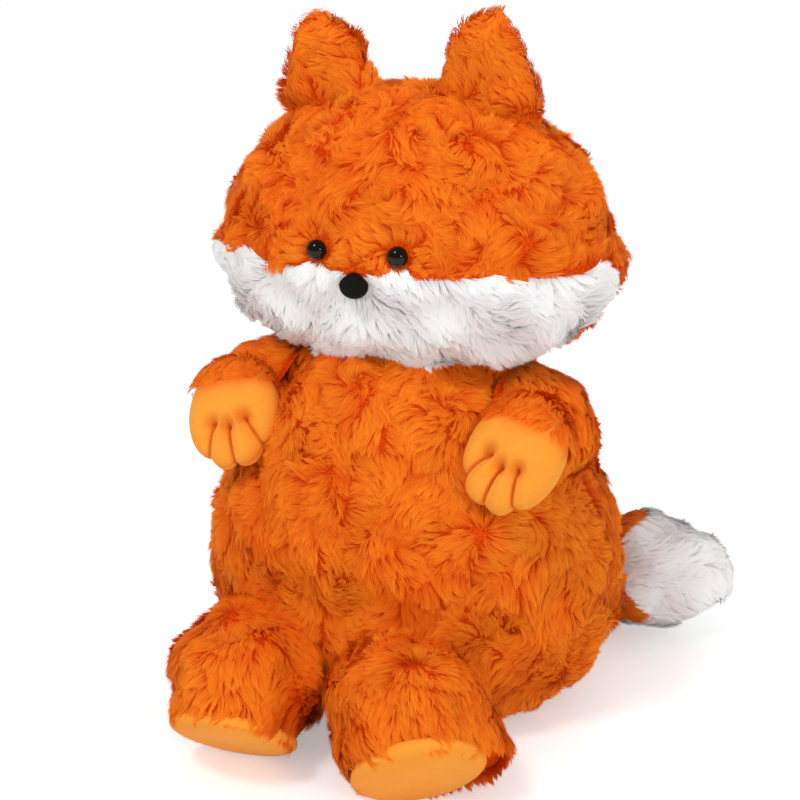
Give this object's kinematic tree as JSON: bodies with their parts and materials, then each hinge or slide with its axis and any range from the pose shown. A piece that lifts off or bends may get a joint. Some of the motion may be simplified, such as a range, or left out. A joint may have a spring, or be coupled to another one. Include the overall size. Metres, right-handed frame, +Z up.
{
  "type": "plush fox",
  "caption": "Seated plush fox with a pear-shaped furry body, white lower face, upright ears, short arms with mitten paws, stubby legs with sole pads and a white-tipped bushy tail.",
  "frame": {"origin": "centre of the flat seat panel, on the floor", "axes": "+Z up; the toy faces -Y and its left side is +X"},
  "size_m": [0.33, 0.3349, 0.4298],
  "materials": {
    "orange_plush": "long-pile plush",
    "white_plush": "long-pile plush",
    "pale_velour": "short-pile velour",
    "eye_black": "gloss",
    "nose_flock": "flocked",
    "washer_plastic": "moulded",
    "filling": "loose polyester fibre"
  },
  "bodies": {
    "body": {"body_front_left_panel": "orange_plush", "body_front_right_panel": "orange_plush", "body_back_panel": "orange_plush", "seat_panel": "orange_plush", "body_stuffing": "filling"},
    "neck": {"neck_stuffing": "filling"},
    "head": {"head_crown": "orange_plush", "head_nape": "orange_plush", "face_panel": "white_plush", "head_stuffing": "filling", "nose": "nose_flock", "nose_washer": "washer_plastic", "eye_left": "eye_black", "eye_right": "eye_black", "eye_washer_left": "washer_plastic", "eye_washer_right": "washer_plastic"},
    "ear_left": {"ear_left_skin": "orange_plush"},
    "ear_right": {"ear_right_skin": "orange_plush"},
    "arm_left": {"sleeve_left": "orange_plush", "arm_stuffing_left": "filling", "paw_left": "pale_velour", "paw_stuffing_left": "filling"},
    "arm_right": {"sleeve_right": "orange_plush", "arm_stuffing_right": "filling", "paw_right": "pale_velour", "paw_stuffing_right": "filling"},
    "leg_left": {"leg_left_skin": "orange_plush", "leg_stuffing_left": "filling", "sole_left": "pale_velour"},
    "leg_right": {"leg_right_skin": "orange_plush", "leg_stuffing_right": "filling", "sole_right": "pale_velour"},
    "tail": {"tail_base": "orange_plush", "tail_tip": "white_plush", "tail_stuffing": "filling"}
  },
  "joints": [
    {"name": "head_turn", "type": "hinge", "parent": "body", "child": "neck", "pos_m": [0, 0, 0.146], "axis": [0, 0, 1], "range_deg": [-20, 20], "stiffness_Nm_per_rad": 1.2},
    {"name": "head_nod", "type": "hinge", "parent": "neck", "child": "head", "pos_m": [0, 0, 0.146], "axis": [1, 0, 0], "range_deg": [-8, 8], "stiffness_Nm_per_rad": 2.5},
    {"name": "ear_left_fold", "type": "hinge", "parent": "head", "child": "ear_left", "pos_m": [0.05, -0.008, 0.37992], "axis": [0.9976, 0, -0.0698], "range_deg": [-12, 12], "stiffness_Nm_per_rad": 0.12},
    {"name": "ear_right_fold", "type": "hinge", "parent": "head", "child": "ear_right", "pos_m": [-0.05, -0.008, 0.37992], "axis": [0.9976, 0, 0.0698], "range_deg": [-12, 12], "stiffness_Nm_per_rad": 0.12},
    {"name": "arm_left_lift", "type": "hinge", "parent": "body", "child": "arm_left", "pos_m": [0, 0, 0.146], "axis": [-0.8198, 0.12, -0.5599], "range_deg": [0, 20], "stiffness_Nm_per_rad": 0.5},
    {"name": "arm_right_lift", "type": "hinge", "parent": "body", "child": "arm_right", "pos_m": [0, 0, 0.146], "axis": [-0.8198, -0.12, 0.5599], "range_deg": [0, 20], "stiffness_Nm_per_rad": 0.5},
    {"name": "leg_left_lift", "type": "hinge", "parent": "body", "child": "leg_left", "pos_m": [0.042, -0.116, 0.0445], "axis": [-1, 0, 0], "range_deg": [-5, 14], "stiffness_Nm_per_rad": 0.8},
    {"name": "leg_right_lift", "type": "hinge", "parent": "body", "child": "leg_right", "pos_m": [-0.054, -0.116, 0.0445], "axis": [-1, 0, 0], "range_deg": [-5, 14], "stiffness_Nm_per_rad": 0.8},
    {"name": "tail_wag", "type": "hinge", "parent": "body", "child": "tail", "pos_m": [0.076, 0.09829, 0.039], "axis": [0, 0, 1], "range_deg": [-8, 25], "stiffness_Nm_per_rad": 0.4}
  ]
}
